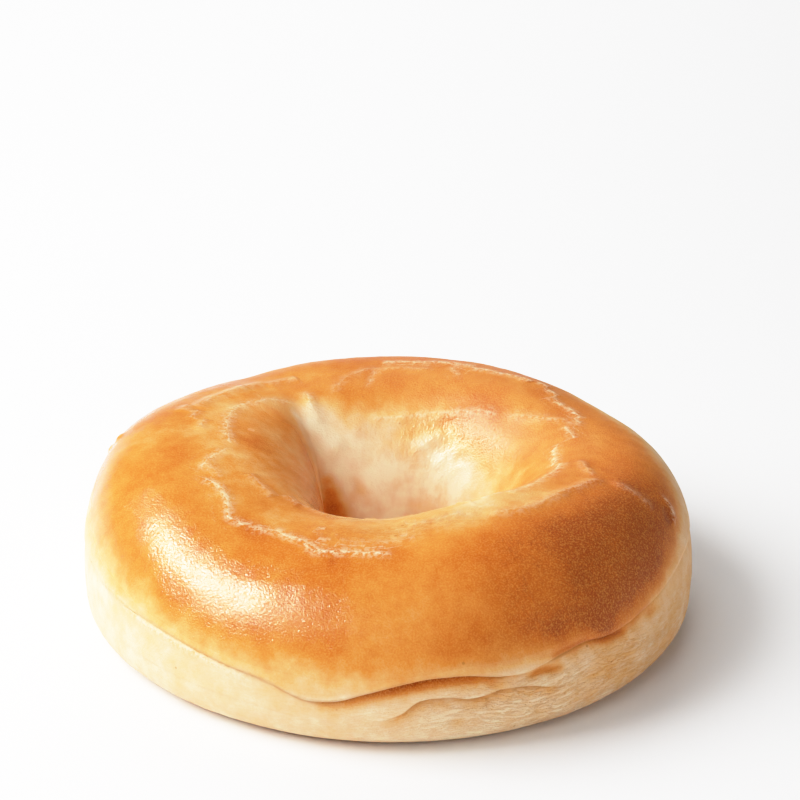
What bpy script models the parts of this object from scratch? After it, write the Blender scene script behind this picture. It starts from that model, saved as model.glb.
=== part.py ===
"""A plain baked bagel as one closed solid, lying on its flat base.

The ring is a torus whose vertices are moved onto a worked-out dough form. At
every angle round the ring the section is lopsided: a full outer side, a
rounded crown and an inner side that runs down the throat of the hole. On the
left the end of the dough laps over and closes in on the hole with a rounded,
nearly straight face. Two folds run round the outer side, where the upper crust
laps over the paler dough below.

Angles round the ring are in degrees, anticlockwise from +X as seen from above,
so 90 is the back and 270 the front. Sizes by angle are given at a few stations
and run smoothly between them. Sizes are in millimetres until the mesh is made.
"""

import math
from dataclasses import dataclass

import bpy
import numpy as np

MM = 0.001

COLUMNS = 96

# Outer side: radius at its fullest, how high that is, and its roundness above and below.
OUTER_RADIUS = {0: 55.5, 45: 55.2, 90: 54.7, 135: 54.8, 180: 55.7, 225: 53.6, 247: 53.3, 270: 53.7, 315: 54.4}
BELLY_HEIGHT = 9.0
SHOULDER_ROUNDNESS = {0: 2.7, 45: 2.0, 90: 2.8, 135: 2.6, 162: 2.9, 180: 2.8, 225: 2.2, 270: 2.05, 315: 2.1}
FOOT_ROUNDNESS = 3.2

# Crown: the ridge of the ring.
CROWN_RADIUS = {0: 35, 45: 33, 90: 32, 135: 33.5, 180: 34, 225: 30, 270: 29.5, 315: 32}
CROWN_HEIGHT = {
    0: 32.3, 24: 32.8, 45: 34.5, 90: 32.9, 108: 32.9, 126: 32.6, 145: 33.9, 180: 35.2, 205: 33.5, 228: 30.4, 250: 30.2,
    270: 30.8, 292: 33.2, 315: 34.2,
}

# Hole: its narrowest radius, the height of that throat, and how round the wall above it is.
THROAT_RADIUS = {
    0: 18.5, 45: 15, 90: 11.5, 120: 13.5, 141: 16.5, 165: 18.5, 190: 17, 215: 14, 240: 12.3, 270: 12, 315: 15,
}
THROAT_HEIGHT = {0: 7, 90: 6, 150: 8, 180: 10, 225: 13, 270: 14, 320: 10}
THROAT_ROUNDNESS = {0: 1.9, 45: 1.85, 90: 1.9, 150: 1.95, 190: 2.0, 240: 2.2, 290: 2.1, 325: 2.0}
HOLE_FOOT_ROUNDNESS = 2.6

# How far in from the crown the lapped end's joint softens to its full.
CROWN_EASE = 8.0

# The dough's soft underside is cut off this much lower than its own roundness would end.
SETTLING = 1.5


@dataclass(frozen=True)
class LappedEnd:
    """The end of the dough that laps over and closes in on the hole.

    Args:
        facing: The angle round the ring that the end lies at.
        face: How far its face stands from the centre of the hole.
        spread: How many degrees it reaches to either side.
        height: Where the face stands out furthest.
        roundness: How round the face is above that height.
        foot_roundness: How round it is below.
        joint: How softly it runs into the hole's wall, by angle.
    """

    facing: float
    face: float
    spread: float
    height: float
    roundness: float
    foot_roundness: float
    joint: dict


@dataclass(frozen=True)
class Fold:
    """A crease on the outer side, with a lip above it and a hollow below.

    Args:
        height: The height of the crease by angle.
        depth: How far the lip stands out over the hollow, by angle.
        lip: The share of that depth by which the lip swells out.
        lip_height: How far up the swelling fades.
        hollow_height: How far down the hollow fades.
    """

    height: dict
    depth: dict
    lip: float
    lip_height: float
    hollow_height: float


LAPPED_END = LappedEnd(
    facing=185.0,
    face=11.3,
    spread=66.0,
    height=14.0,
    roundness=2.2,
    foot_roundness=2.6,
    joint={0: 0.8, 90: 0.8, 195: 0.8, 235: 5.5, 275: 5.5, 320: 0.8},
)

UPPER_FOLD = Fold(
    height={
        0: 18.8, 45: 18.0, 90: 17.5, 135: 17.0, 180: 17.0, 199: 16.4, 215: 15.8, 227: 14.9, 238: 13.6, 247: 12.4,
        254: 10.3, 260: 10.6, 266: 12.5, 275: 14.8, 284: 15.1, 291: 14.0, 296: 13.8, 301: 14.8, 308: 15.8,
        316: 15.6, 325: 16.4, 343: 18.3,
    },
    depth={
        0: 0.5, 90: 0.5, 180: 0.5, 215: 0.5, 240: 0.6, 256: 0.7, 264: 1.1, 275: 1.7, 284: 1.5, 290: 0.8, 295: 0.3,
        301: 0.6, 308: 1.2, 316: 1.1, 325: 0.7, 343: 0.5,
    },
    lip=0.35,
    lip_height=4.0,
    hollow_height=2.2,
)
LOWER_FOLD = Fold(
    height={
        0: 9.0, 90: 8.5, 180: 8.5, 240: 7.5, 256: 6.6, 268: 7.2, 272: 8.6, 275.5: 11.0, 281: 11.3, 285: 10.7,
        291: 11.6, 296: 11.3, 302: 9.6, 312: 9.2,
    },
    depth={0: 0.1, 90: 0.1, 180: 0.1, 250: 0.1, 268: 0.1, 275: 0.8, 285: 1.3, 293: 1.2, 299: 0.7, 305: 0.1},
    lip=0.3,
    lip_height=1.6,
    hollow_height=2.4,
)

# How far the two edges of a fold lie above and below its crease.
FOLD_EDGE = 0.25

# Rows of the mesh between one line of the section and the next, from below the crown outwards.
ROWS = {
    "base": 3,
    "foot": 5,
    "lower fold": 1,
    "between folds": 3,
    "upper fold": 1,
    "shoulder": 12,
    "hole wall": 13,
    "hole foot": 8,
    "inner base": 3,
}


def around(stations, angle):
    """Read a size at an angle round the ring.

    Args:
        stations: Sizes by angle in degrees.
        angle: Angles in degrees, as an array.

    Returns:
        The sizes on a smooth closed curve through the stations.
    """
    knots = np.array(sorted(stations), float)
    sizes = np.array([stations[knot] for knot in sorted(stations)], float)
    knots = np.concatenate((knots[-2:] - 360, knots, knots[:2] + 360))
    sizes = np.concatenate((sizes[-2:], sizes, sizes[:2]))
    turn = np.mod(angle, 360)
    k = np.searchsorted(knots, turn, side="right") - 1
    width = knots[k + 1] - knots[k]
    u = (turn - knots[k]) / width
    slope_in = (sizes[k + 1] - sizes[k - 1]) / (knots[k + 1] - knots[k - 1])
    slope_out = (sizes[k + 2] - sizes[k]) / (knots[k + 2] - knots[k])
    ends = (2 * u**3 - 3 * u**2 + 1) * sizes[k] + (3 * u**2 - 2 * u**3) * sizes[k + 1]
    return ends + (u**3 - 2 * u**2 + u) * width * slope_in + (u**3 - u**2) * width * slope_out


def fullness(height, top, middle, roundness, foot_roundness):
    """Work out how wide a lopsided superellipse is at a height, from 0 at its top to 1 at its middle."""
    above = height >= middle
    rise = np.where(above, (height - middle) / (top - middle), (middle - height) / (middle + SETTLING))
    power = np.where(above, roundness, foot_roundness)
    return (1 - np.clip(rise, 0, 1) ** power) ** (1 / power)


def section_height(turn, top, middle, roundness, foot_roundness):
    """Work out the height on a lopsided superellipse at a turn round it, in radians."""
    power = np.where(np.sin(turn) >= 0, roundness, foot_roundness)
    size = (np.abs(np.cos(turn)) ** power + np.abs(np.sin(turn)) ** power) ** (-1 / power)
    half_height = np.where(np.sin(turn) >= 0, top - middle, middle + SETTLING)
    return middle + half_height * np.sin(turn) * size


def section_turn(height, top, middle, roundness, foot_roundness):
    """Work out the turn round a lopsided superellipse, in radians, at which it has a height."""
    half_height = np.where(height >= middle, top - middle, middle + SETTLING)
    rise = (height - middle) / half_height
    power = np.where(height >= middle, roundness, foot_roundness)
    return np.arctan2(rise, (1 - np.abs(rise) ** power) ** (1 / power))


def soft_minimum(a, b, softness):
    """Take the smaller of two sizes, with the corner between them rounded off."""
    share = np.clip(0.5 + 0.5 * (b - a) / softness, 0, 1)
    return b + (a - b) * share - softness * share * (1 - share)


def fold_push(fold, angle, height):
    """Work out how far a fold moves the outer side outwards.

    Args:
        fold: The fold.
        angle: Angles round the ring in degrees.
        height: Heights above the base.

    Returns:
        The distance, above 0 on the lip and below 0 in the hollow.
    """
    above = height - around(fold.height, angle)
    lip = fold.lip * np.exp(-((above / fold.lip_height) ** 2))
    hollow = -(1 - fold.lip) * np.exp(above / fold.hollow_height)
    crossing = np.clip(0.5 + 0.5 * above / FOLD_EDGE, 0, 1)
    share = np.where(above > FOLD_EDGE, lip, np.where(above < -FOLD_EDGE, hollow, 0))
    edge = fold.lip * crossing - (1 - fold.lip) * (1 - crossing)
    return around(fold.depth, angle) * np.where(np.abs(above) <= FOLD_EDGE, edge, share)


def outer_side(angle, turn):
    """Work out the outer side's radius and height."""
    crown = around(CROWN_RADIUS, angle)
    top = around(CROWN_HEIGHT, angle)
    roundness = around(SHOULDER_ROUNDNESS, angle)
    height = section_height(turn, top, BELLY_HEIGHT, roundness, FOOT_ROUNDNESS)
    width = around(OUTER_RADIUS, angle) - crown
    radius = crown + width * fullness(height, top, BELLY_HEIGHT, roundness, FOOT_ROUNDNESS)
    pushes = [fold_push(fold, angle, height) for fold in (UPPER_FOLD, LOWER_FOLD)]
    return radius + sum(pushes), height


def inner_side(angle, turn):
    """Work out the radius and height of the hole's wall, with the lapped end closing in on it."""
    end = LAPPED_END
    crown = around(CROWN_RADIUS, angle)
    top = around(CROWN_HEIGHT, angle)
    middle = around(THROAT_HEIGHT, angle)
    roundness = around(THROAT_ROUNDNESS, angle)
    height = section_height(turn, top, middle, roundness, HOLE_FOOT_ROUNDNESS)
    wall = crown - (crown - around(THROAT_RADIUS, angle)) * fullness(
        height, top, middle, roundness, HOLE_FOOT_ROUNDNESS
    )
    aside = angle - end.facing
    face = end.face / np.cos(np.radians(np.clip(aside, -end.spread, end.spread)))
    reach = fullness(height, top, end.height, end.roundness, end.foot_roundness)
    lapped = crown - (crown - np.minimum(face, crown)) * reach
    fading = np.clip((crown - wall) / CROWN_EASE, 0.01, 1)
    return soft_minimum(wall, lapped, around(end.joint, angle) * fading), height


def dough_surface(angle, turn):
    """Work out points on the bagel.

    Args:
        angle: Angles round the ring in degrees, from 0 to 360.
        turn: Turns round the section in radians: -pi/2 under the crown, 0 outermost,
            pi/2 on the crown, pi in the hole and 3pi/2 under the crown again.

    Returns:
        The points in millimetres, with x, y and z last.
    """
    outside = np.cos(turn) >= 0
    outer_radius, outer_height = outer_side(angle, turn)
    inner_radius, inner_height = inner_side(angle, turn)
    radius = np.where(outside, outer_radius, inner_radius)
    height = np.where(outside, outer_height, inner_height)
    theta = np.radians(angle)
    return np.stack((radius * np.cos(theta), radius * np.sin(theta), np.maximum(height, 0)), -1)


def section_lines(angle):
    """Work out the turns round the section that the mesh's rows are shared out between.

    Args:
        angle: Angles round the ring in degrees.

    Returns:
        One array of turns for each line, in the order of ROWS, with the closing line last.
    """
    top = around(CROWN_HEIGHT, angle)
    outer = (top, BELLY_HEIGHT, around(SHOULDER_ROUNDNESS, angle), FOOT_ROUNDNESS)
    inner = (top, around(THROAT_HEIGHT, angle), around(THROAT_ROUNDNESS, angle), HOLE_FOOT_ROUNDNESS)
    floor = np.zeros_like(angle)
    lower = around(LOWER_FOLD.height, angle)
    upper = around(UPPER_FOLD.height, angle)
    return (
        floor - math.pi / 2,
        section_turn(floor, *outer),
        section_turn(lower - FOLD_EDGE, *outer),
        section_turn(lower + FOLD_EDGE, *outer),
        section_turn(upper - FOLD_EDGE, *outer),
        section_turn(upper + FOLD_EDGE, *outer),
        floor + math.pi / 2,
        floor + math.pi,
        math.pi - section_turn(floor, *inner),
        floor + 3 * math.pi / 2,
    )


def section_rows(angle, row):
    """Spread the mesh's rows evenly between the section's lines.

    Args:
        angle: Angles round the ring in degrees.
        row: Row numbers, from 0 to the sum of ROWS.

    Returns:
        The turns round the section in radians.
    """
    lines = section_lines(angle)
    turn = np.zeros_like(angle)
    first = 0
    for count, start, end in zip(ROWS.values(), lines, lines[1:]):
        inside = (row >= first) & (row < first + count)
        turn = np.where(inside, start + (end - start) * (row - first) / count, turn)
        first += count
    return turn


def crust_material():
    """Make the baked crust's material."""
    material = bpy.data.materials.new("crust")
    material.use_nodes = True
    shader = material.node_tree.nodes["Principled BSDF"]
    shader.inputs["Base Color"].default_value = (0.62, 0.27, 0.07, 1)
    shader.inputs["Roughness"].default_value = 0.4
    shader.inputs["Metallic"].default_value = 0
    return material


def make_bagel():
    """Move a torus's vertices onto the dough's form, and stand it on the middle of its box.

    Returns:
        The finished object.
    """
    rows = sum(ROWS.values())
    bpy.ops.mesh.primitive_torus_add(
        major_segments=COLUMNS, minor_segments=rows, major_radius=2, minor_radius=1, align="WORLD"
    )
    bagel = bpy.context.object
    bagel.name = "bagel"
    bagel.data.name = "bagel"
    count = len(bagel.data.vertices)
    plain = np.empty(count * 3)
    bagel.data.vertices.foreach_get("co", plain)
    x, y, z = plain.reshape(-1, 3).T
    angle = np.mod(np.round(np.degrees(np.arctan2(y, x)) * COLUMNS / 360), COLUMNS) * 360 / COLUMNS
    row = np.mod(np.round(np.arctan2(z, np.hypot(x, y) - 2) * rows / (2 * math.pi)), rows)
    points = dough_surface(angle, section_rows(angle, row)) * MM
    points[:, :2] -= (points[:, :2].min(axis=0) + points[:, :2].max(axis=0)) / 2
    bagel.data.vertices.foreach_set("co", points.ravel())
    bagel.data.shade_smooth()
    bagel.data.update()
    bagel.data.materials.append(crust_material())
    return bagel


def main():
    """Clear the file and make the bagel."""
    for old in list(bpy.data.objects):
        bpy.data.objects.remove(old)
    make_bagel()


main()
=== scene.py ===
"""The looks of a plain baked bagel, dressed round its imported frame.

The bagel is one piece: a torus whose vertices are moved onto the dough's form,
roughened by the swells, puckers and creases of the risen dough, and painted
with how far each place has browned. Sizes are in millimetres and angles in
degrees until the mesh is made. Angles run anticlockwise round the ring from +X
as seen from above, so 90 is the back and 270 the front. Turns run round the
section from 0 on the outermost line over the crown at 90 and into the hole at
180.
"""

import logging
import math
from dataclasses import dataclass

import bpy
import numpy as np
from mathutils import Matrix, Vector


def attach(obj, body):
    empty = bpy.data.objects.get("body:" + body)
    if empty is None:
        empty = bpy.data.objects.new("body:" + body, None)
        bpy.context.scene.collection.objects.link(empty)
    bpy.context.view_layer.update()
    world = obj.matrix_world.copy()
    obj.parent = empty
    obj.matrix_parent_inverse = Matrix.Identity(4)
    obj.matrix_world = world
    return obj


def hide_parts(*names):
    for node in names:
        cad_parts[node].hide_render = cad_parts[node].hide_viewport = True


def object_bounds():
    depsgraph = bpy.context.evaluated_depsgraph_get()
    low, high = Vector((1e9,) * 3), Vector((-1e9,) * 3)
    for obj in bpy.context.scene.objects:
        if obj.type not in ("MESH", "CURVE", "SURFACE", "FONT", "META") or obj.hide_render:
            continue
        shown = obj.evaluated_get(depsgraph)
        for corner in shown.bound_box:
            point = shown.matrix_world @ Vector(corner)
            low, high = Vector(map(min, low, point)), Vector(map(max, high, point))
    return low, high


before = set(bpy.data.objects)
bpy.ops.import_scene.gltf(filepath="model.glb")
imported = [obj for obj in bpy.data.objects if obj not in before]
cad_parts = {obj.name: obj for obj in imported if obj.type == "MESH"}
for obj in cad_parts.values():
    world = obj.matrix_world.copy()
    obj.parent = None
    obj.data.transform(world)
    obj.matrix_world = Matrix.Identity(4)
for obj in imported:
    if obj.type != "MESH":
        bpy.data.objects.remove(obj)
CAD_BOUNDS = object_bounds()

LOG = logging.getLogger("bagel")
MM = 0.001
WHITE = (1.0, 1.0, 1.0, 1.0)

Colour = tuple[float, float, float]
Place = tuple[float, float]


# ---------------------------------------------------------------- the dough's form


@dataclass(frozen=True)
class Stations:
    """A size given at a few angles round the ring.

    Args:
        sizes: Pairs of an angle and the size there, in order of angle.
    """

    sizes: tuple[tuple[float, float], ...]

    def at(self, angle: np.ndarray) -> np.ndarray:
        """Read the size at some angles.

        Args:
            angle: Angles round the ring.

        Returns:
            The sizes on a smooth closed curve through the stations.
        """
        knots, sizes = np.array(self.sizes, float).T
        knots = np.concatenate((knots[-2:] - 360, knots, knots[:2] + 360))
        sizes = np.concatenate((sizes[-2:], sizes, sizes[:2]))
        turn = np.mod(angle, 360)
        k = np.searchsorted(knots, turn, side="right") - 1
        width = knots[k + 1] - knots[k]
        u = (turn - knots[k]) / width
        slope_in = (sizes[k + 1] - sizes[k - 1]) / (knots[k + 1] - knots[k - 1])
        slope_out = (sizes[k + 2] - sizes[k]) / (knots[k + 2] - knots[k])
        ends = (2 * u**3 - 3 * u**2 + 1) * sizes[k] + (3 * u**2 - 2 * u**3) * sizes[k + 1]
        return ends + (u**3 - 2 * u**2 + u) * width * slope_in + (u**3 - u**2) * width * slope_out


@dataclass(frozen=True)
class Oval:
    """A lopsided superellipse that stands on the base, as one side of the section.

    Args:
        top: How high it reaches.
        middle: The height at which it is fullest.
        roundness: How round it is above that height.
        foot_roundness: How round it is below.
        settling: How far below the base its own roundness would end.
    """

    top: np.ndarray
    middle: np.ndarray
    roundness: np.ndarray
    foot_roundness: float
    settling: float

    def fullness(self, height: np.ndarray) -> np.ndarray:
        """Work out how wide it is at a height, from 0 at its top to 1 at its middle."""
        above = height >= self.middle
        below = (self.middle - height) / (self.middle + self.settling)
        rise = np.where(above, (height - self.middle) / (self.top - self.middle), below)
        power = np.where(above, self.roundness, self.foot_roundness)
        return (1 - np.clip(rise, 0, 1) ** power) ** (1 / power)

    def height(self, turn: np.ndarray) -> np.ndarray:
        """Work out the height at a turn round it, in radians."""
        upper = np.sin(turn) >= 0
        power = np.where(upper, self.roundness, self.foot_roundness)
        size = (np.abs(np.cos(turn)) ** power + np.abs(np.sin(turn)) ** power) ** (-1 / power)
        half_height = np.where(upper, self.top - self.middle, self.middle + self.settling)
        return self.middle + half_height * np.sin(turn) * size

    def turn(self, height: np.ndarray) -> np.ndarray:
        """Work out the turn round it, in radians, at which it has a height."""
        above = height >= self.middle
        rise = (height - self.middle) / np.where(above, self.top - self.middle, self.middle + self.settling)
        power = np.where(above, self.roundness, self.foot_roundness)
        return np.arctan2(rise, (1 - np.abs(rise) ** power) ** (1 / power))


@dataclass(frozen=True)
class Fold:
    """A crease round the outer side, with a lip above it and a hollow below.

    Args:
        height: The height of the crease.
        depth: How far the lip stands out over the hollow.
        lip: The share of that depth by which the lip swells out.
        lip_height: How far up the swelling fades.
        hollow_height: How far down the hollow fades.
        toast_and_shade: How much darker the hollow is, partly browning and partly painted shade under the lip.
        edge: How far the lip's and the hollow's edges lie from the crease.
    """

    height: Stations
    depth: Stations
    lip: float
    lip_height: float
    hollow_height: float
    toast_and_shade: Stations
    edge: float = 0.12

    def push(self, angle: np.ndarray, height: np.ndarray) -> np.ndarray:
        """Work out how far the fold moves the outer side outwards.

        Args:
            angle: Angles round the ring.
            height: Heights above the base.

        Returns:
            The distance, above 0 on the lip and below 0 in the hollow.
        """
        above = height - self.height.at(angle)
        lip = self.lip * np.exp(-((above / self.lip_height) ** 2))
        hollow = -(1 - self.lip) * np.exp(np.minimum(above, 0) / self.hollow_height)
        crossing = np.clip(0.5 + 0.5 * above / self.edge, 0, 1)
        return self.depth.at(angle) * (lip * crossing + hollow * (1 - crossing))

    def browning(self, angle: np.ndarray, height: np.ndarray) -> np.ndarray:
        """Work out how much darker the fold makes the outer side under its lip: browning and painted shade."""
        below = self.height.at(angle) - height
        return self.toast_and_shade.at(angle) * smooth(below / 0.4 + 0.5) * np.exp(-((np.maximum(below, 0) / 1.9) ** 2))


@dataclass(frozen=True)
class LappedEnd:
    """The end of the dough that laps over and closes in on the hole.

    Args:
        facing: The angle round the ring that the end lies at.
        face: How far its face stands from the centre of the hole.
        spread: How many degrees it reaches to either side.
        height: Where the face stands out furthest.
        roundness: How round the face is above that height.
        foot_roundness: How round it is below.
        joint: How softly it runs into the hole's wall.
        crown_ease: How far in from the crown that joint softens to its full.
    """

    facing: float = 185.0
    face: float = 11.3
    spread: float = 66.0
    height: float = 14.0
    roundness: float = 2.2
    foot_roundness: float = 2.6
    joint: Stations = Stations(((0, 0.8), (90, 0.8), (195, 0.8), (235, 5.5), (275, 5.5), (320, 0.8)))
    crown_ease: float = 8.0

    def close_in(
        self, angle: np.ndarray, height: np.ndarray, wall: np.ndarray, crown: np.ndarray, oval: Oval
    ) -> np.ndarray:
        """Bring the hole's wall in to the end's face.

        Args:
            angle: Angles round the ring.
            height: Heights above the base.
            wall: The wall's radius without the lapped end.
            crown: The radius of the ring's crown.
            oval: The wall's own section.

        Returns:
            The wall's radius with the lapped end.
        """
        aside = np.radians(np.clip(angle - self.facing, -self.spread, self.spread))
        face = np.minimum(self.face / np.cos(aside), crown)
        section = Oval(oval.top, self.height, self.roundness, self.foot_roundness, oval.settling)
        lapped = crown - (crown - face) * section.fullness(height)
        softness = self.joint.at(angle) * np.clip((crown - wall) / self.crown_ease, 0.01, 1)
        share = np.clip(0.5 + 0.5 * (lapped - wall) / softness, 0, 1)
        return lapped + (wall - lapped) * share - softness * share * (1 - share)


@dataclass(frozen=True)
class Dough:
    """The risen ring of dough: the same form as the solid it stands for."""

    outer_radius: Stations = Stations((
        (0, 55.5), (45, 55.2), (90, 54.7), (135, 54.8), (180, 55.7), (225, 53.6), (247, 53.3), (270, 53.7),
        (315, 54.4),
    ))
    belly_height: float = 9.0
    shoulder_roundness: Stations = Stations((
        (0, 2.7), (45, 2.0), (90, 2.8), (135, 2.6), (162, 2.9), (180, 2.8), (225, 2.2), (270, 2.05), (315, 2.1),
    ))
    foot_roundness: float = 3.2
    crown_radius: Stations = Stations((
        (0, 35), (45, 33), (90, 32), (135, 33.5), (180, 34), (225, 30), (270, 29.5), (315, 32),
    ))
    crown_height: Stations = Stations((
        (0, 32.3), (24, 32.8), (45, 34.5), (90, 32.9), (108, 32.9), (126, 32.6), (145, 33.9), (180, 35.2),
        (205, 33.5), (228, 30.4), (250, 30.2), (270, 30.8), (292, 33.2), (315, 34.2),
    ))
    throat_radius: Stations = Stations((
        (0, 18.5), (45, 15), (90, 11.5), (120, 13.5), (141, 16.5), (165, 18.5), (190, 17), (215, 14),
        (240, 12.3), (270, 12), (315, 15),
    ))
    throat_height: Stations = Stations((
        (0, 7), (90, 6), (150, 8), (180, 10), (225, 13), (270, 14), (320, 10),
    ))
    throat_roundness: Stations = Stations((
        (0, 1.9), (45, 1.85), (90, 1.9), (150, 1.95), (190, 2.0), (240, 2.2), (290, 2.1), (325, 2.0),
    ))
    hole_foot_roundness: float = 2.6
    settling: float = 1.5
    lapped_end: LappedEnd = LappedEnd()
    upper_fold: Fold = Fold(
        height=Stations((
            (0, 18.8), (45, 18.0), (90, 17.5), (135, 17.0), (180, 17.0), (199, 16.4), (215, 15.8), (227, 14.9),
            (238, 13.6), (247, 12.4), (254, 10.3), (260, 10.6), (266, 12.5), (275, 14.8), (284, 15.1),
            (291, 14.0), (296, 13.8), (301, 14.8), (308, 15.8), (316, 15.6), (325, 16.4), (343, 18.3),
        )),
        depth=Stations((
            (0, 0.5), (90, 0.5), (180, 0.5), (215, 0.5), (240, 0.6), (256, 0.7), (264, 1.1), (275, 1.7),
            (284, 1.5), (290, 0.8), (295, 0.3), (301, 0.6), (308, 1.2), (316, 1.1), (325, 0.7), (343, 0.5),
        )),
        lip=0.35,
        lip_height=4.0,
        hollow_height=2.2,
        # The hollow under the lip is darkened: partly browning, partly painted shade.
        toast_and_shade=Stations((
            (0, 0.05), (180, 0.05), (245, 0.05), (255, 0.12), (263, 0.6), (275, 1.0), (284, 0.8), (290, 0.3),
            (300, 0.1), (312, 0.2), (330, 0.1),
        )),
    )
    lower_fold: Fold = Fold(
        height=Stations((
            (0, 9.0), (90, 8.5), (180, 8.5), (240, 7.5), (256, 6.6), (268, 7.2), (272, 8.6), (275.5, 11.0),
            (281, 11.3), (285, 10.7), (291, 11.6), (296, 11.3), (302, 9.6), (312, 9.2),
        )),
        depth=Stations((
            (0, 0.1), (90, 0.1), (180, 0.1), (250, 0.1), (268, 0.1), (275, 0.8), (285, 1.3), (293, 1.2),
            (299, 0.7), (305, 0.1),
        )),
        lip=0.3,
        lip_height=1.6,
        hollow_height=2.4,
        # The hollow under the lip is darkened: partly browning, partly painted shade.
        toast_and_shade=Stations((
            (0, 0.0), (180, 0.0), (266, 0.0), (274, 0.25), (284, 0.22), (293, 0.25), (300, 0.2), (308, 0.0),
        )),
    )

    def outer_oval(self, angle: np.ndarray) -> Oval:
        """Work out the section's outer side at some angles."""
        top = self.crown_height.at(angle)
        roundness = self.shoulder_roundness.at(angle)
        return Oval(top, self.belly_height, roundness, self.foot_roundness, self.settling)

    def inner_oval(self, angle: np.ndarray) -> Oval:
        """Work out the section's inner side at some angles."""
        top = self.crown_height.at(angle)
        roundness = self.throat_roundness.at(angle)
        return Oval(top, self.throat_height.at(angle), roundness, self.hole_foot_roundness, self.settling)

    def surface(self, angle: np.ndarray, turn: np.ndarray) -> np.ndarray:
        """Work out points on the dough.

        Args:
            angle: Angles round the ring, in degrees.
            turn: Turns round the section, in radians, from -pi/2 to 3pi/2.

        Returns:
            The points, with x, y and z last.
        """
        crown = self.crown_radius.at(angle)
        outer = self.outer_oval(angle)
        outer_height = outer.height(turn)
        outer_radius = crown + (self.outer_radius.at(angle) - crown) * outer.fullness(outer_height)
        for fold in (self.upper_fold, self.lower_fold):
            outer_radius = outer_radius + fold.push(angle, outer_height)
        inner = self.inner_oval(angle)
        inner_height = inner.height(turn)
        wall = crown - (crown - self.throat_radius.at(angle)) * inner.fullness(inner_height)
        inner_radius = self.lapped_end.close_in(angle, inner_height, wall, crown, inner)
        outside = np.cos(turn) >= 0
        radius = np.where(outside, outer_radius, inner_radius)
        height = np.maximum(np.where(outside, outer_height, inner_height), 0)
        theta = np.radians(angle)
        return np.stack((radius * np.cos(theta), radius * np.sin(theta), height), -1)


@dataclass(frozen=True)
class Rows:
    """How many rows of the mesh lie between one line of the section and the next."""

    base: int = 3
    foot: int = 16
    lower_fold: int = 2
    between_folds: int = 20
    upper_fold: int = 2
    shoulder: int = 58
    hole_wall: int = 56
    hole_foot: int = 16
    inner_base: int = 3

    def counts(self) -> tuple[int, ...]:
        """List the counts from under the crown outwards and over."""
        return (
            self.base, self.foot, self.lower_fold, self.between_folds, self.upper_fold, self.shoulder,
            self.hole_wall, self.hole_foot, self.inner_base,
        )

    def turns(self, dough: Dough, angle: np.ndarray, row: np.ndarray) -> np.ndarray:
        """Spread the rows evenly between the section's lines.

        Args:
            dough: The dough's form.
            angle: The angle of each vertex.
            row: The row of each vertex.

        Returns:
            The turns round the section, in radians.
        """
        outer = dough.outer_oval(angle)
        inner = dough.inner_oval(angle)
        floor = np.zeros_like(angle)
        lower = dough.lower_fold.height.at(angle)
        upper = dough.upper_fold.height.at(angle)
        edge = dough.upper_fold.edge
        lines = (
            floor - math.pi / 2, outer.turn(floor), outer.turn(lower - edge), outer.turn(lower + edge),
            outer.turn(upper - edge), outer.turn(upper + edge), floor + math.pi / 2, floor + math.pi,
            math.pi - inner.turn(floor), floor + 3 * math.pi / 2,
        )
        turn = np.zeros_like(angle)
        first = 0
        for count, start, end in zip(self.counts(), lines, lines[1:]):
            inside = (row >= first) & (row < first + count)
            turn = np.where(inside, start + (end - start) * (row - first) / count, turn)
            first += count
        return turn


# ---------------------------------------------------------------- marks in and on the crust


@dataclass(frozen=True)
class Line:
    """A seam or wrinkle of the crust's skin.

    Args:
        width: How wide it is.
        rise: How far it stands proud of the crust.
        pale: How plainly it shows as a paler line, up to 1, or below 0 as a darker one, which is painted shade in a
            crease.
        places: The angle and the turn of each point that it runs through.
    """

    width: float
    rise: float
    pale: float
    places: tuple[Place, ...]


@dataclass(frozen=True)
class Patch:
    """A soft-edged place that has browned more or less than the crust round it.

    Args:
        place: Its angle and turn.
        size: How far out it fades.
        browning: How much more it has browned.
    """

    place: Place
    size: float
    browning: float


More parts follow.
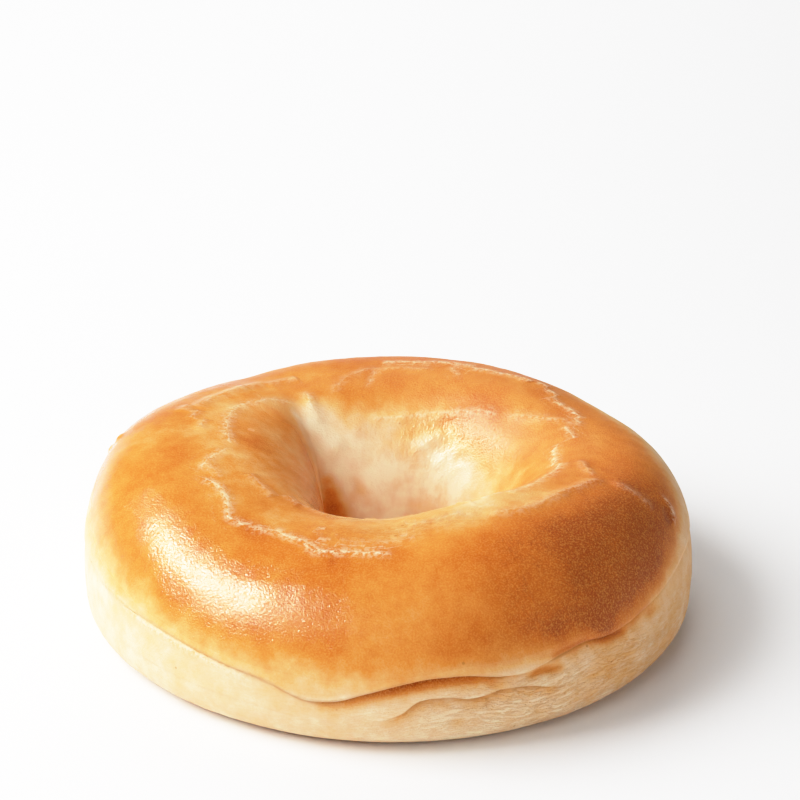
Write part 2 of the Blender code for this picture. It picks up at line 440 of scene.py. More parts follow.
@dataclass(frozen=True)
class Browning:
    """How far the crust has browned, from 0 for pale dough to 1 for dark brown.

    Args:
        shoulder: How far the outer shoulder has browned.
        crown: How far the crown has.
        side: How far the side below it has.
        skirt: The turn on the outer side at which half of the browning is gone.
        skirt_fade: How many degrees of turn it takes to go there.
        lip: The turn at which the skin folds over the pale side.
        above_lip: How much more the side above that has browned.
        hole: How far the hole's wall has.
        throat: The turn in the hole at which half of it is gone.
        throat_fade: How many degrees of turn it takes to go there.
        patches: Places that differ.
    """

    # Darkest at 300 to 345, on the right: partly deeper browning, partly painted shade on the side turned from the
    # main light.
    shoulder: Stations = Stations((
        (0, 0.66), (15, 0.64), (45, 0.66), (90, 0.72), (135, 0.64), (180, 0.62), (210, 0.62), (240, 0.70),
        (270, 0.68), (285, 0.74), (300, 0.90), (330, 1.0), (345, 0.88),
    ))
    # Paler at 270 to 300 towards the near rim: partly a painted sheen along the rim.
    crown: Stations = Stations((
        (0, 0.56), (30, 0.56), (90, 0.64), (120, 0.54), (150, 0.46), (180, 0.46), (210, 0.46), (225, 0.48),
        (255, 0.50), (270, 0.38), (285, 0.34), (300, 0.38), (315, 0.46), (330, 0.54),
    ))
    side: Stations = Stations((
        (0, 0.15), (90, 0.10), (180, 0.05), (210, 0.09), (240, 0.10), (270, 0.08), (285, 0.02), (300, 0.08),
        (315, 0.16), (345, 0.18),
    ))
    skirt: Stations = Stations((
        (0, 48), (15, 58), (30, 62), (60, 54), (90, 50), (135, 48), (165, 40), (180, 32), (195, 26), (210, 24),
        (225, 24), (240, 22), (255, 20), (270, 20), (285, 21), (300, 19), (315, 18), (330, 22), (345, 32),
    ))
    skirt_fade: Stations = Stations((
        (0, 20), (30, 22), (90, 26), (180, 24), (210, 26), (240, 30), (270, 28), (285, 22), (330, 16),
    ))
    lip: Stations = Stations((
        (0, 20), (180, 20), (195, 18), (212, 17), (224, 15), (235, 12), (245, 9), (253, 5), (256, 4), (261, 6),
        (268, 11), (275, 15), (286, 14), (300, 13), (320, 13),
    ))
    above_lip: Stations = Stations((
        (0, 0.0), (180, 0.04), (200, 0.06), (215, 0.10), (285, 0.11), (300, 0.06), (320, 0.0),
    ))
    # Palest at 110 to 125, beside the lapped end: painted light where the end would shade the wall.
    hole: Stations = Stations((
        (0, 0.26), (30, 0.14), (60, 0.05), (90, 0.04), (110, 0.03), (125, 0.03), (135, 0.12), (165, 0.30),
        (200, 0.30), (240, 0.30), (300, 0.30),
    ))
    throat: Stations = Stations((
        (0, 142), (15, 136), (30, 130), (60, 122), (75, 120), (90, 119), (105, 117), (119, 110), (133, 112),
        (150, 150), (180, 158), (215, 150), (240, 125), (270, 114), (300, 116), (330, 128),
    ))
    throat_fade: Stations = Stations((
        (0, 50), (30, 40), (75, 40), (105, 38), (135, 30), (180, 30), (240, 24), (270, 24), (330, 40),
    ))
    patches: tuple[Patch, ...] = (
        Patch((229, 76), 3.0, 0.24),
        Patch((258, 30), 3.5, 0.18),
        Patch((303, 24), 3.0, 0.15),
        Patch((314, 19), 3.0, 0.50),
        # The next five paler patches on the front of the dome are partly painted light.
        Patch((272, 38), 6.0, -0.14),
        Patch((287, 38), 5.0, -0.12),
        Patch((277, 55), 6.0, -0.16),
        Patch((298, 59), 5.0, -0.12),
        Patch((304, 38), 5.0, -0.08),
        Patch((328, 80), 6.0, -0.12),
        Patch((257, 68), 4.0, 0.12),
        Patch((270, 72), 4.0, 0.12),
        Patch((231, 86), 3.5, -0.12),
        Patch((168, 80), 4.0, 0.12),
        Patch((190, 80), 5.0, 0.12),
        # The next two paler patches on the left shoulder are a painted sheen.
        Patch((179, 62), 6.0, -0.18),
        Patch((160, 68), 6.0, -0.10),
        Patch((178, 110), 3.0, 0.20),
        Patch((168, 107), 3.0, -0.12),
        Patch((139, 107), 4.0, -0.12),
        # A paler patch on the near rim: painted sheen.
        Patch((306, 97), 5.0, -0.25),
        # Dark patches down the crevice between the lapped end and the hole's wall: painted shade.
        Patch((131, 150), 1.2, 0.35),
        Patch((131, 156), 1.4, 0.50),
        Patch((131, 162), 1.7, 0.60),
        Patch((130, 169), 2.2, 0.70),
        Patch((108, 117), 4.0, 0.14),
        Patch((75, 130), 4.0, 0.14),
        Patch((45, 122), 5.0, 0.42),
    )

    def at(self, angle: np.ndarray, turn: np.ndarray, unrolled: "Unrolled") -> np.ndarray:
        """Work out how far some places have browned.

        Args:
            angle: Their angles round the ring.
            turn: Their turns, in degrees.
            unrolled: Where they lie on the unrolled crust.

        Returns:
            How far they have browned, from 0 to 1.
        """
        inwards = smooth((turn - 62) / 30)
        level = self.shoulder.at(angle) * (1 - inwards) + self.crown.at(angle) * inwards
        above_side = smooth((turn - self.skirt.at(angle)) / self.skirt_fade.at(angle) + 0.5)
        pale = self.side.at(angle) + self.above_lip.at(angle) * smooth((turn - self.lip.at(angle)) / 2)
        level = pale * (1 - above_side) + level * above_side
        above_hole = smooth((self.throat.at(angle) - turn) / self.throat_fade.at(angle) + 0.5)
        level = self.hole.at(angle) * (1 - above_hole) + level * above_hole
        for patch in self.patches:
            away = unrolled.distance(patch.place)
            level = level + patch.browning * np.exp(-((away / patch.size) ** 2))
        return np.clip(level, 0, 1)


SEAMS = (
    Line(0.8, 0.45, 1.0, ((199, 17), (207, 17), (216, 15), (224, 14), (231, 13), (238, 10), (245, 7))),
    Line(0.9, 0.20, 0.8, ((127, 108), (136, 99), (152, 94), (171, 98), (186, 101))),
    Line(0.7, 0.12, 0.7, ((186, 101), (189, 96), (197, 85), (201, 83))),
    Line(0.7, 0.20, 1.0, ((200, 79), (208, 84), (214, 82), (220, 75), (225, 76), (228, 82))),
    Line(0.8, 0.20, 1.0, ((225, 76), (234, 81), (244, 79), (250, 74), (258, 76), (266, 76), (272, 74))),
    Line(0.8, 0.25, 0.6, ((102, 121), (74, 120), (59, 118), (46, 114), (38, 112))),
    Line(0.8, 0.25, 0.4, ((38, 112), (24, 97), (14, 81))),
    Line(0.7, 0.10, 0.4, ((114, 105), (98, 83), (86, 82), (74, 84))),
    Line(0.5, -0.15, 0.5, ((93, 79), (96, 94), (100, 103))),
    Line(0.5, 0.10, 0.6, ((72, 78), (68, 86), (64, 96))),
    Line(0.9, 0.45, 0.45, ((299, 86), (310, 81), (319, 81), (328, 81), (338, 78), (342, 72))),
    Line(0.7, 0.35, 0.4, ((342, 72), (342, 60), (342, 46))),
    Line(0.6, 0.35, 0.5, ((341, 78), (347, 86), (354, 92))),
    Line(0.7, 0.45, 0.9, ((349, 50), (348, 40), (346, 33))),
    Line(1.1, -0.30, -1.0, ((347, 46), (346, 40), (344, 35))),
)
# Sunken lines painted darker, as painted shade in the creases; the first paints the shadow along the upper fold's
# right end.
CREASES = (
    Line(0.35, -0.35, -1.0, ((300, 14), (304, 16), (309, 16), (314, 14), (321, 12))),
    Line(0.35, -0.45, -1.0, ((295, 9), (299, 10), (305, 8))),
    Line(0.35, -0.30, -0.3, ((307, 0), (311, 0), (314, -1))),
    Line(0.4, -0.15, -0.4, ((287, 13), (289, 9), (292, 5))),
    Line(0.5, -0.20, -0.4, ((280, -18), (282, -15), (285, -11))),
    Line(0.5, -0.15, -0.3, ((287, -9), (291, -7))),
    Line(0.5, -0.15, -0.3, ((296, -20), (300, -18))),
    Line(0.6, -0.20, -0.7, ((325, 12), (328, 14), (331, 15))),
)
PUCKERS = (
    # The first two lines, beside the lapped end, are paler as painted glints and painted light on the wall; the second
    # has no rise.
    Line(0.9, 0.35, 0.9, ((121, 96), (123, 112), (124, 124))),
    Line(1.8, 0.0, 0.6, ((121, 124), (120, 134), (118, 144))),
    Line(0.8, 0.20, 0.6, ((114, 131), (107, 127), (101, 122))),
    Line(0.7, 0.20, 0.3, ((99, 143), (96, 139), (92, 134))),
    Line(0.7, 0.25, 0.5, ((77, 142), (72, 136), (64, 132), (58, 128))),
    Line(0.6, 0.15, 0.5, ((64, 148), (56, 141), (48, 136), (40, 132))),
    Line(0.6, 0.15, 0.4, ((60, 153), (50, 146), (38, 141))),
    Line(0.7, 0.20, 0.3, ((88, 126), (83, 122), (77, 118))),
    Line(0.6, -0.20, -0.3, ((70, 127), (58, 123), (48, 124))),
    Line(0.6, -0.20, -0.3, ((116, 147), (110, 154), (104, 160))),
    # A pale ridge beside the lapped end, paler as a painted glint.
    Line(0.8, 0.30, 0.9, ((124, 138), (119, 134), (114, 137))),
)


class Unrolled:
    """Where each vertex lies on the crust when it is unrolled flat.

    The first distance runs anticlockwise round the ring, and the second from the
    crown into the hole.
    """

    def __init__(self, angle: np.ndarray, turn: np.ndarray, points: np.ndarray) -> None:
        """Measure how far each vertex lies from the crown.

        Args:
            angle: The vertices' angles.
            turn: Their turns, in degrees.
            points: Where they are.
        """
        self.angle = angle
        self.radius = np.hypot(points[:, 0], points[:, 1])
        order = np.lexsort((turn, angle))
        self.columns = len(np.unique(angle))
        grid = points[order].reshape(self.columns, -1, 3)
        self.turns = turn[order].reshape(self.columns, -1)
        steps = np.linalg.norm(np.diff(grid, axis=1), axis=2)
        run = np.concatenate((np.zeros((self.columns, 1)), np.cumsum(steps, axis=1)), axis=1)
        crown = np.array([np.interp(90, *pair) for pair in zip(self.turns, run)])
        self.runs = run - crown[:, None]
        self.inward = np.empty_like(turn)
        self.inward[order] = self.runs.ravel()

    def place_inward(self, place: Place) -> float:
        """Find how far in from the crown a place lies."""
        column = round(place[0] * self.columns / 360) % self.columns
        return float(np.interp(place[1], self.turns[column], self.runs[column]))

    def offset(self, place: Place) -> tuple[np.ndarray, np.ndarray]:
        """Find how far every vertex lies from a place, along both distances."""
        aside = np.radians(np.mod(self.angle - place[0] + 180, 360) - 180) * self.radius
        return aside, self.inward - self.place_inward(place)

    def distance(self, place: Place) -> np.ndarray:
        """Find how far every vertex lies from a place."""
        return np.hypot(*self.offset(place))

    def line(self, line: Line) -> tuple[np.ndarray, np.ndarray]:
        """Find how far every vertex lies from a line.

        Args:
            line: The line.

        Returns:
            The distances, above 0 on its left, and how plainly the line still shows
            there, from 0 past its ends to 1.
        """
        nearest = np.full_like(self.inward, 1e3)
        shown = np.zeros_like(self.inward)
        last = len(line.places) - 2
        for k, (start, end) in enumerate(zip(line.places, line.places[1:])):
            from_start = self.offset(start)
            from_end = self.offset(end)
            run = (from_start[0] - from_end[0], from_start[1] - from_end[1])
            length = np.hypot(*run)
            along = (from_start[0] * run[0] + from_start[1] * run[1]) / length**2
            held = np.clip(along, 0, 1)
            away = np.hypot(from_start[0] - held * run[0], from_start[1] - held * run[1])
            side = np.sign(run[0] * from_start[1] - run[1] * from_start[0])
            closer = away < np.abs(nearest)
            nearest = np.where(closer, away * side, nearest)
            fade = np.ones_like(away)
            if k == 0:
                fade = fade * smooth(along * length / 3)
            if k == last:
                fade = fade * smooth((1 - along) * length / 3)
            shown = np.where(closer, fade, shown)
        return nearest, shown


def smooth(rise: np.ndarray) -> np.ndarray:
    """Ease a rise from 0 to 1, and hold it outside."""
    held = np.clip(rise, 0, 1)
    return held**2 * (3 - 2 * held)


def hump(angle: np.ndarray, middle: float, spread: float) -> np.ndarray:
    """Rise to 1 at an angle round the ring, and fade to both sides of it."""
    return np.exp(-(((np.mod(angle - middle + 180, 360) - 180) / spread) ** 2))


# ---------------------------------------------------------------- shader nodes


class Value:
    """A number that runs through a material's nodes, worked on with Python's operators."""

    def __init__(self, nodes: "Nodes", socket: bpy.types.NodeSocket) -> None:
        """Wrap an output socket of a material's nodes."""
        self.nodes = nodes
        self.socket = socket

    def __add__(self, other: "Value | float") -> "Value":
        """Add."""
        return self.nodes.math("ADD", self, other)

    def __radd__(self, other: float) -> "Value":
        """Add to a number."""
        return self.nodes.math("ADD", other, self)

    def __sub__(self, other: "Value | float") -> "Value":
        """Take away."""
        return self.nodes.math("SUBTRACT", self, other)

    def __rsub__(self, other: float) -> "Value":
        """Take away from a number."""
        return self.nodes.math("SUBTRACT", other, self)

    def __mul__(self, other: "Value | float") -> "Value":
        """Multiply."""
        return self.nodes.math("MULTIPLY", self, other)

    def __rmul__(self, other: float) -> "Value":
        """Multiply a number."""
        return self.nodes.math("MULTIPLY", other, self)

    def __truediv__(self, other: "Value | float") -> "Value":
        """Divide."""
        return self.nodes.math("DIVIDE", self, other)

    def __abs__(self) -> "Value":
        """Drop the sign."""
        return self.nodes.math("ABSOLUTE", self)

    def ramp(self, low: float, high: float) -> "Value":
        """Turn the range from low to high into a smooth rise from 0 to 1.

        Args:
            low: Where the rise starts.
            high: Where it ends; below low, the rise is a fall.

        Returns:
            The smooth rise.
        """
        node = self.nodes.add(
            "ShaderNodeMapRange",
            {"interpolation_type": "SMOOTHSTEP"},
            {"Value": self, "From Min": low, "From Max": high},
        )
        return Value(self.nodes, node.outputs["Result"])


class Nodes:
    """The node tree of one material."""

    def __init__(self, name: str) -> None:
        """Start a material with an empty node tree."""
        self.material = bpy.data.materials.new(name)
        self.material.use_nodes = True
        self.tree = self.material.node_tree
        self.tree.nodes.clear()

    def add(self, kind: str, settings: dict | None = None, inputs: dict | None = None) -> bpy.types.Node:
        """Add a node.

        Args:
            kind: The node's type.
            settings: Its settings by name, such as a Math node's operation or a ramp's stops.
            inputs: The value or link of each socket, by name or number.

        Returns:
            The node.
        """
        node = self.tree.nodes.new(kind)
        for name, setting in (settings or {}).items():
            if name == "stops":
                self._set_stops(node.color_ramp, setting)
            else:
                setattr(node, name, setting)
        for key, value in (inputs or {}).items():
            if isinstance(value, Value):
                value = value.socket
            if isinstance(value, bpy.types.NodeSocket):
                self.tree.links.new(value, node.inputs[key])
            else:
                node.inputs[key].default_value = value
        return node

    @staticmethod
    def _set_stops(ramp: bpy.types.ColorRamp, stops: tuple[tuple[float, Colour], ...]) -> None:
        """Give a ramp its stops."""
        while len(ramp.elements) < len(stops):
            ramp.elements.new(1)
        for element, (position, colour) in zip(ramp.elements, stops):
            element.position = position
            element.color = (*colour, 1)

    def math(self, operation: str, *values: "Value | float") -> Value:
        """Work on numbers with a Math node."""
        node = self.add("ShaderNodeMath", {"operation": operation}, dict(enumerate(values)))
        return Value(self, node.outputs[0])

    def attribute(self, name: str, output: str = "Fac") -> Value:
        """Read an attribute of the mesh."""
        return Value(self, self.add("ShaderNodeAttribute", {"attribute_name": name}).outputs[output])

    def noise(self, place: Value, size: float, detail: float = 2.0, roughness: float = 0.5) -> Value:
        """Make a noise of 0 to 1.

        Args:
            place: Where the noise is read, in metres.
            size: How large its features are, in millimetres.
            detail: How many finer noises are added.
            roughness: How strong those are.

        Returns:
            The noise.
        """
        inputs = {"Vector": place, "Scale": 1 / (size * MM), "Detail": detail, "Roughness": roughness}
        return Value(self, self.add("ShaderNodeTexNoise", None, inputs).outputs[0])

    def blend(self, share: "Value | float", first: "Value | Colour", second: "Value | Colour") -> Value:
        """Mix two colours by a share of the second."""
        colours = [(*c, 1) if isinstance(c, tuple) else c for c in (first, second)]
        inputs = {0: share, 6: colours[0], 7: colours[1]}
        return Value(self, self.add("ShaderNodeMix", {"data_type": "RGBA"}, inputs).outputs[2])

    def bump(self, height: Value, distance: float) -> Value:
        """Raise the surface by a height.

        Args:
            height: The height, as a share of the distance.
            distance: The height of 1, in millimetres.

        Returns:
            The bumped normal.
        """
        inputs = {"Height": height, "Distance": distance * MM}
        return Value(self, self.add("ShaderNodeBump", None, inputs).outputs[0])

    def finish(self, shader: bpy.types.Node) -> bpy.types.Material:
        """Lead a shader to the output.

        Args:
            shader: The shader's node.

        Returns:
            The finished material.
        """
        self.add("ShaderNodeOutputMaterial", None, {"Surface": shader.outputs[0]})
        return self.material


@dataclass(frozen=True)
class Crust:
    """The finish of the baked crust, from matt pale dough to glossy brown.

    Args:
        bakes: Colours by how far the crust has browned, from 0 to 1.
        vein: The colour of the skin's pale lines.
        crease: The colour of the painted shade deep in a fold, also used for the dark pores.
        pale_grain_and_glint: The colour of the fine pale specks on browned crust, partly pale grain and partly painted
            glints.
    """

    bakes: tuple[tuple[float, Colour], ...] = (
        (0.0, (0.88, 0.70, 0.46)),
        (0.1, (0.80, 0.53, 0.30)),
        (0.3, (0.75, 0.37, 0.12)),
        (0.5, (0.67, 0.225, 0.038)),
        (0.7, (0.56, 0.148, 0.018)),
        (0.85, (0.49, 0.11, 0.012)),
        (1.0, (0.33, 0.06, 0.008)),
    )
    vein: Colour = (0.88, 0.66, 0.42)
    crease: Colour = (0.42, 0.15, 0.03)
    pale_grain_and_glint: Colour = (0.80, 0.36, 0.08)

    def material(self) -> bpy.types.Material:
        """Make the crust's material."""
        nodes = Nodes("crust")
        place = Value(nodes, nodes.add("ShaderNodeTexCoord").outputs["Object"])
        along = nodes.attribute("grain", "Vector")
        bake = nodes.attribute("bake")
        gloss = nodes.attribute("gloss")
        streaky = nodes.attribute("streaky")
        vein = nodes.attribute("vein")
        shown = nodes.attribute("vein_shown")
        puckered = nodes.attribute("puckered")

        turning = bake * (1 - bake)
        mottle = nodes.noise(place, 9, 4, 0.6) - 0.5
        blotch = nodes.noise(place, 2.2, 3, 0.6) - 0.5
        grain = nodes.noise(place, 0.32, 2, 0.7) - 0.5
        streak = nodes.noise(along, 0.6, 3, 0.65) - 0.5
        shade = bake + mottle * (0.3 + turning * 1.3 + puckered * 0.4) + blotch * (0.06 + turning) + grain * bake * 0.5
        crinkle = (1 - (abs(streak) / 0.05).ramp(0.0, 1.0)) * streaky
        # toast_and_shade darkens the creases of the lines with painted shade.
        shade = shade + nodes.attribute("toast_and_shade") * 0.4 + streak * streaky * 0.24 + crinkle * 0.12
        colour = Value(nodes, nodes.add(
            "ShaderNodeValToRGB", {"stops": self.bakes}, {"Fac": shade}
        ).outputs[0])
        # Painted shade: darken the folds' creases.
        colour = nodes.blend(nodes.attribute("crease"), colour, self.crease)
        # Fine pale specks on browned crust: partly pale grain, partly painted glints.
        specks = nodes.noise(place, 0.3, 1).ramp(0.42, 0.70)
        colour = nodes.blend(specks * bake * 0.4, colour, self.pale_grain_and_glint)

        pores = nodes.add("ShaderNodeTexVoronoi", None, {"Vector": place, "Scale": 1 / (7 * MM)})
        pore = Value(nodes, pores.outputs["Distance"]).ramp(0.05, 0.025)
        colour = nodes.blend(pore * 0.7, colour, self.crease)

        wobble = (nodes.noise(place, 1.8, 5, 0.65) - 0.5) * 3.0
        broken = nodes.noise(place, 0.9, 3, 0.7).ramp(0.4, 0.62)
        strand = 1 - (abs(vein + wobble) / 0.4).ramp(0.0, 1.0)
        second = 1 - (abs(vein - wobble * 1.3 + 0.5) / 0.3).ramp(0.0, 1.0)
        halo = 1 - (abs(vein + wobble * 0.5) / 2.6).ramp(0.0, 1.0)
        line = (strand * 0.35 + second * 0.35 * broken + halo * broken * 0.6) * shown
        colour = nodes.blend(line * 0.85, colour, self.vein)

        wrinkle = nodes.noise(place, 0.6, 2, 0.6)
        fine = nodes.noise(place, 0.3, 1)
        upright = nodes.add("ShaderNodeVectorMath", {"operation": "MULTIPLY"}, {0: place, 1: (1.0, 1.0, 0.3)})
        pucker = nodes.noise(Value(nodes, upright.outputs[0]), 0.9, 3, 0.6) * puckered
        raised = nodes.bump(
            wrinkle * 0.9 + fine * 0.7 + line - crinkle * 1.2 + streak * streaky * 2.0 + pucker * 2.5, 0.07
        )
        shader = nodes.add(
            "ShaderNodeBsdfPrincipled",
            {"subsurface_method": "RANDOM_WALK"},
            {
                "Base Color": colour,
                "Roughness": 0.8 - gloss * 0.67,
                "Specular IOR Level": 0.38,
                "Specular Tint": (1.0, 0.90, 0.68, 1.0),
                "Subsurface Weight": 0.15,
                "Subsurface Radius": (1.0, 0.45, 0.2),
                "Subsurface Scale": 0.002,
                "Normal": raised,
            },
        )
        return nodes.finish(shader)


@dataclass(frozen=True)
class Tabletop:
    """The finish of the plain white table."""

    colour: Colour = (0.93, 0.93, 0.93)
    roughness: float = 0.9

    def material(self) -> bpy.types.Material:
        """Make the table's material."""
        nodes = Nodes("tabletop")
        inputs = {"Base Color": (*self.colour, 1), "Roughness": self.roughness, "Specular IOR Level": 0.0}
        return nodes.finish(nodes.add("ShaderNodeBsdfPrincipled", None, inputs))


# ---------------------------------------------------------------- the bagel


@dataclass
class Bagel:
    """The bagel, dressed.

    Args:
        dough: The dough's form.
        rows: The mesh's rows.
        columns: The mesh's columns, an even number.
        browning: How far each place has browned.
        lines: The seams and wrinkles of its skin.
        wrinkling: How finely wrinkled its pale side is.
        glaze: How glossy its browned crust is.
        crust: The crust's finish.
    """

    dough: Dough = Dough()
    rows: Rows = Rows()
    columns: int = 512
    browning: Browning = Browning()
    lines: tuple[Line, ...] = SEAMS + CREASES + PUCKERS
    wrinkling: Stations = Stations((
        (0, 0.7), (90, 0.4), (180, 0.15), (240, 0.2), (270, 0.4), (290, 0.8), (320, 1.0),
    ))
    glaze: Stations = Stations((
        (0, 0.35), (60, 0.5), (120, 0.7), (180, 1.0), (285, 1.0), (310, 0.6), (335, 0.35),
    ))
    crust: Crust = Crust()

    def build(self) -> bpy.types.Object:
        """Make the piece and dress it.

        Returns:
            The finished object.
        """
        bagel = self._ring()
        mesh = bagel.data
        angle, turn = self._grid(mesh)
        points = self.dough.surface(angle, turn)
        points[:, :2] -= (points[:, :2].min(axis=0) + points[:, :2].max(axis=0)) / 2
        turn = np.degrees(turn)
        unrolled = Unrolled(angle, turn, points)
        mesh.vertices.foreach_set("co", (points * MM).ravel())
        mesh.update()
        veins = self._draw_lines(mesh, unrolled)
        normals = np.empty(points.size)
        mesh.vertices.foreach_get("normal", normals)
        held = smooth(points[:, 2] / 2)
        points += normals.reshape(-1, 3) * (veins * held)[:, None]
        mesh.vertices.foreach_set("co", (points * MM).ravel())
        mesh.update()
        self._paint(mesh, angle, turn, points, unrolled)
        self._swell(bagel, held)
        mesh.shade_smooth()
        mesh.materials.clear()
        mesh.materials.append(self.crust.material())
        return bagel

    def _ring(self) -> bpy.types.Object:
        """Add the torus and halve its facets.

        Returns:
            The plain ring.
        """
        bpy.ops.object.select_all(action="DESELECT")
        bpy.ops.mesh.primitive_torus_add(
            major_segments=self.columns // 2,
            minor_segments=sum(self.rows.counts()) // 2,
            major_radius=2,
            minor_radius=1,
            align="WORLD",
        )
        ring = bpy.context.object
        ring.name = "crust"
        ring.data.name = "crust"
        bpy.ops.object.mode_set(mode="EDIT")
        bpy.ops.mesh.select_all(action="SELECT")
        bpy.ops.mesh.subdivide(number_cuts=1)
        bpy.ops.object.mode_set(mode="OBJECT")
        return ring

    def _grid(self, mesh: bpy.types.Mesh) -> tuple[np.ndarray, np.ndarray]:
        """Read each vertex's place on the plain ring.

        Args:
            mesh: The plain ring's mesh.

        Returns:
            The angles in degrees, and the turns in radians.
        """
        rows = sum(self.rows.counts())
        plain = np.empty(len(mesh.vertices) * 3)
        mesh.vertices.foreach_get("co", plain)
        x, y, z = plain.reshape(-1, 3).T
        column = np.mod(np.round(np.degrees(np.arctan2(y, x)) * self.columns / 360), self.columns)
        row = np.mod(np.round(np.arctan2(z, np.hypot(x, y) - 2) * rows / (2 * math.pi)), rows)
        angle = column * 360 / self.columns
        return angle, self.rows.turns(self.dough, angle, row)

    def _draw_lines(self, mesh: bpy.types.Mesh, unrolled: Unrolled) -> np.ndarray:
        """Mark the mesh with the lines of the skin.

        Args:
            mesh: The bagel's mesh.
            unrolled: Where its vertices lie on the unrolled crust.

        Returns:
            How far the lines raise each vertex.
        """
        rise = np.zeros_like(unrolled.inward)
        nearest = np.full_like(rise, 4.0)
        shown = np.zeros_like(rise)
        toast_and_shade = np.zeros_like(rise)
        for line in self.lines:
            away, fade = unrolled.line(line)
            ridge = fade * np.exp(-((away / (line.width + 0.4)) ** 2))
            rise += line.rise * ridge
            # Lines below 0 paint shade into their creases.
            toast_and_shade += max(-line.pale, 0) * ridge
            closer = np.abs(away / line.width) < np.abs(nearest)
            nearest = np.where(closer, away / line.width, nearest)
            shown = np.where(closer, fade * max(line.pale, 0) * smooth(2 - np.abs(away) / 1.5), shown)
        self._store(mesh, "vein", nearest)
        self._store(mesh, "vein_shown", shown)
        self._store(mesh, "toast_and_shade", toast_and_shade)
        return rise

    def _paint(
        self, mesh: bpy.types.Mesh, angle: np.ndarray, turn: np.ndarray, points: np.ndarray, unrolled: Unrolled
    ) -> None:
        """Mark the mesh with how each place has browned, with painted shade under the folds, and how glossy it is.

        Args:
            mesh: The bagel's mesh.
            angle: The angle of each vertex.
            turn: The turn of each vertex, in degrees.
            points: Where the vertices are.
            unrolled: Where they lie on the unrolled crust.
        """
        bake = self.browning.at(angle, turn, unrolled)
        crease = np.zeros_like(angle)
        for fold in (self.dough.upper_fold, self.dough.lower_fold):
            below = fold.height.at(angle) - points[:, 2]
            outside = turn < 90
            # The fold's browning includes painted shade in the hollow under the lip.
            bake += fold.browning(angle, points[:, 2]) * outside
            depth = fold.depth.at(angle) * outside
            # Painted shade: a dark line just under the lip of each deep fold.
            crease += 0.8 * smooth((depth - 0.4) / 0.5) * np.exp(-(((below - 0.3) / 0.35) ** 2))
        bake += 0.3 * np.exp(-((points[:, 2] / 0.5) ** 2)) * (turn < 90)
        near_rim = np.exp(-(((turn - 92) / 9) ** 2)) * hump(angle, 275, 40)
        self._store(mesh, "bake", bake)
        gloss = (0.1 + 0.9 * smooth(bake / 0.5)) * self.glaze.at(angle)
        in_hole = smooth((turn - 114) / 14) * hump(angle, 60, 50)
        gloss = gloss + (0.8 - gloss) * in_hole
        self._store(mesh, "gloss", gloss)
        self._store(mesh, "puckered", in_hole)
        self._store(mesh, "crease", np.clip(crease, 0, 1))
        on_side = smooth((22 - turn) / 20) * self.wrinkling.at(angle)
        self._store(mesh, "streaky", near_rim + on_side)
        theta = np.radians(angle)
        grain = np.stack((9 * np.cos(theta), 9 * np.sin(theta), unrolled.inward), -1)
        layer = mesh.attributes.new("grain", "FLOAT_VECTOR", "POINT")
        layer.data.foreach_set("vector", (grain * MM).astype(np.float32).ravel())

    def _swell(self, bagel: bpy.types.Object, held: np.ndarray) -> None:
        """Roughen the risen dough, but leave the base flat.

        Args:
            bagel: The bagel.
            held: How free each vertex is to move, from 0 to 1.
        """
        group = bagel.vertex_groups.new(name="free")
        for step in range(1, 11):
            chosen = np.flatnonzero(np.round(held * 10) == step)
            group.add(chosen.tolist(), step / 10, "REPLACE")
        for name, size, height in (("swells", 12, 0.35), ("dimples", 3.5, 0.12)):
            clouds = bpy.data.textures.new(name, "CLOUDS")
            clouds.noise_scale = size * MM
            modifier = bagel.modifiers.new(name, "DISPLACE")
            modifier.texture = clouds
            modifier.strength = height * MM
            modifier.mid_level = 0.5
            modifier.vertex_group = "free"
            bpy.ops.object.modifier_apply(modifier=name)

    @staticmethod
    def _store(mesh: bpy.types.Mesh, name: str, values: np.ndarray) -> None:
        """Keep a number for each vertex."""
        layer = mesh.attributes.new(name, "FLOAT", "POINT")
        layer.data.foreach_set("value", values.astype(np.float32))


# ---------------------------------------------------------------- the studio


@dataclass(frozen=True)
class Softbox:
    """A square light that faces the bagel.

    Args:
        angle: Where it stands round the bagel.
        elevation: How far above the table it stands, in degrees.
        size: Its width, in metres.
        brightness: How bright it looks beside a white that the camera just holds.
        lighting: Whether it lights what it shines on.
        mirrored: Whether glossy crust mirrors it.
        distance: How far it stands from the bagel, in metres.
    """

    angle: float
    elevation: float
    size: float
    brightness: float
    lighting: bool = True
    mirrored: bool = True
    distance: float = 0.6

    def build(self, target: Vector) -> bpy.types.Object:
        """Stand the light facing the target."""
        lamp = bpy.data.lights.new("softbox", "AREA")
        lamp.shape = "SQUARE"
        lamp.size = self.size
        lamp.energy = self.brightness * math.pi * self.size**2
        light = bpy.data.objects.new("softbox", lamp)
        light.visible_diffuse = self.lighting
        light.visible_glossy = self.mirrored
        bpy.context.collection.objects.link(light)
        angle = math.radians(self.angle)
        elevation = math.radians(self.elevation)
        level = math.cos(elevation)
        towards = Vector((level * math.cos(angle), level * math.sin(angle), math.sin(elevation)))
        light.location = target + towards * self.distance
        light.rotation_euler = towards.to_track_quat("Z", "Y").to_euler()
        return light


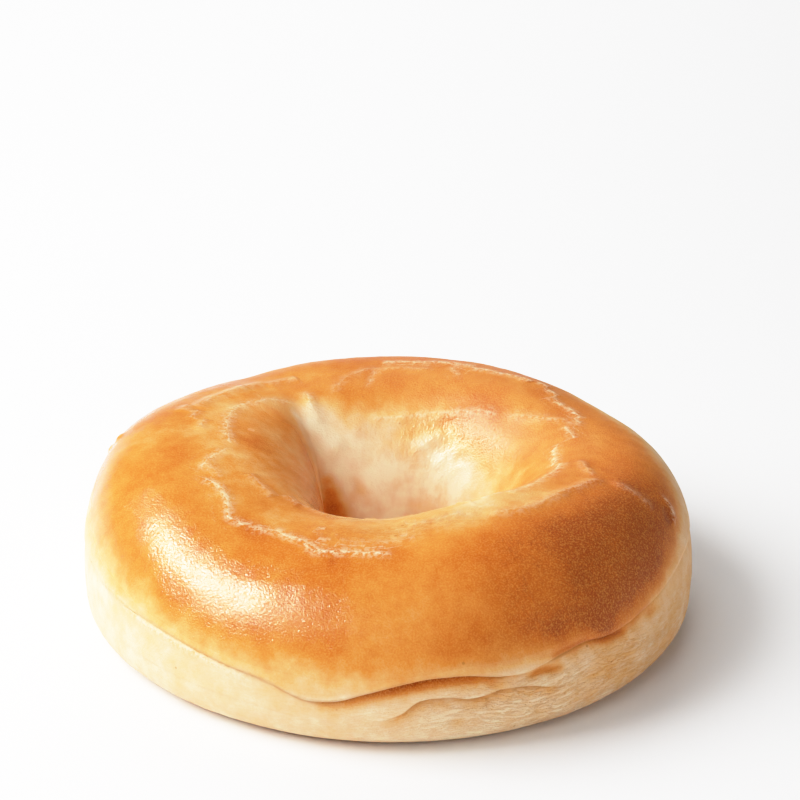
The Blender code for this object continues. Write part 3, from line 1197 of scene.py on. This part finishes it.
@dataclass(frozen=True)
class Viewpoint:
    """Where the camera stands and looks.

    Args:
        elevation: How far above the table it looks at the bagel from, in degrees.
        distance: How far it stands from its target, in metres.
        lens: Its focal length, in millimetres.
        aim_up: How far above the target it looks, in degrees.
        aim_right: How far to the right of it.
        target: The target from the middle of the bagel, in metres.
    """

    elevation: float = 27.0
    distance: float = 0.6
    lens: float = 147.56
    aim_up: float = 2.166
    aim_right: float = 0.2184
    target: tuple[float, float, float] = (0.0001, -0.0005, -0.0001)

    def build(self, middle: Vector) -> bpy.types.Object:
        """Stand the camera in front of the bagel and aim it."""
        elevation = math.radians(self.elevation)
        pitch = elevation - math.radians(self.aim_up)
        away = Vector((0, math.cos(elevation), -math.sin(elevation)))
        look = Vector((0, math.cos(pitch), -math.sin(pitch)))
        look.rotate(Matrix.Rotation(-math.radians(self.aim_right), 3, "Z"))
        lens = bpy.data.cameras.new("camera")
        lens.lens = self.lens
        lens.sensor_width = 36
        camera = bpy.data.objects.new("camera", lens)
        bpy.context.collection.objects.link(camera)
        camera.location = middle + Vector(self.target) - away * self.distance
        camera.rotation_euler = look.to_track_quat("-Z", "Y").to_euler()
        bpy.context.scene.camera = camera
        return camera


@dataclass(frozen=True)
class Studio:
    """The table, lights and camera.

    Args:
        room: The brightness of the white room.
        lights: The softboxes: four small ones that the crust mirrors, then four large ones that light the
            bagel from the left, from behind, from the front left and low from the front right.
        viewpoint: The camera's place.
        tabletop: The table's finish.
        white_point: The brightness that comes out white.
        response: Tones that brightnesses between black and that come out as.
    """

    room: float = 0.08
    lights: tuple[Softbox, ...] = (
        Softbox(angle=184, elevation=45, size=0.18, brightness=62, lighting=False),
        Softbox(angle=198, elevation=52, size=0.10, brightness=60, lighting=False),
        Softbox(angle=203, elevation=32, size=0.08, brightness=70, lighting=False),
        Softbox(angle=230, elevation=46, size=0.08, brightness=20, lighting=False),
        Softbox(angle=183, elevation=41, size=0.48, brightness=9.6, mirrored=False),
        Softbox(angle=96, elevation=34, size=0.53, brightness=2.4, mirrored=False),
        Softbox(angle=245, elevation=42, size=0.34, brightness=3.0, mirrored=False),
        Softbox(angle=322, elevation=12, size=0.34, brightness=2.4, mirrored=False),
    )
    viewpoint: Viewpoint = Viewpoint()
    tabletop: Tabletop = Tabletop()
    white_point: float = 2.0
    response: tuple[tuple[float, float], ...] = (
        (0.25, 0.25), (0.5, 0.5), (0.7, 0.68), (0.9, 0.81), (1.1, 0.89), (1.3, 0.94), (1.6, 0.98),
    )

    def build(self) -> None:
        """Set up everything round the bagel."""
        low, high = (Vector(corner) for corner in CAD_BOUNDS)
        middle = (low + high) / 2
        self._table(low.z)
        for softbox in self.lights:
            softbox.build(middle)
        self.viewpoint.build(middle)
        world = bpy.data.worlds.new("room")
        bpy.context.scene.world = world
        world.use_nodes = True
        background = world.node_tree.nodes["Background"]
        background.inputs["Color"].default_value = WHITE
        background.inputs["Strength"].default_value = self.room
        self._set_response()

    def _set_response(self) -> None:
        """Let the camera ease bright tones into white, as film does."""
        view = bpy.context.scene.view_settings
        view.view_transform = "Standard"
        view.use_curve_mapping = True
        view.curve_mapping.white_level = (self.white_point,) * 3
        curve = view.curve_mapping.curves[3]
        for brightness, tone in self.response:
            curve.points.new(brightness / self.white_point, tone)
        view.curve_mapping.update()

    def _table(self, height: float) -> None:
        """Lay the table."""
        bpy.ops.object.select_all(action="DESELECT")
        bpy.ops.mesh.primitive_plane_add(size=6, location=(0, 0, height))
        table = bpy.context.object
        table.name = "tabletop"
        bpy.ops.object.transform_apply()
        table.data.materials.append(self.tabletop.material())


def main() -> None:
    """Build the bagel and the studio, and report each piece."""
    logging.basicConfig(level=logging.INFO, format="%(name)s: %(message)s")
    crust = Bagel().build()
    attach(crust, "root")
    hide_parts("bagel")
    LOG.info("%s has %d faces", crust.name, len(crust.data.polygons))
    Studio().build()


if __name__ == "__main__":
    main()
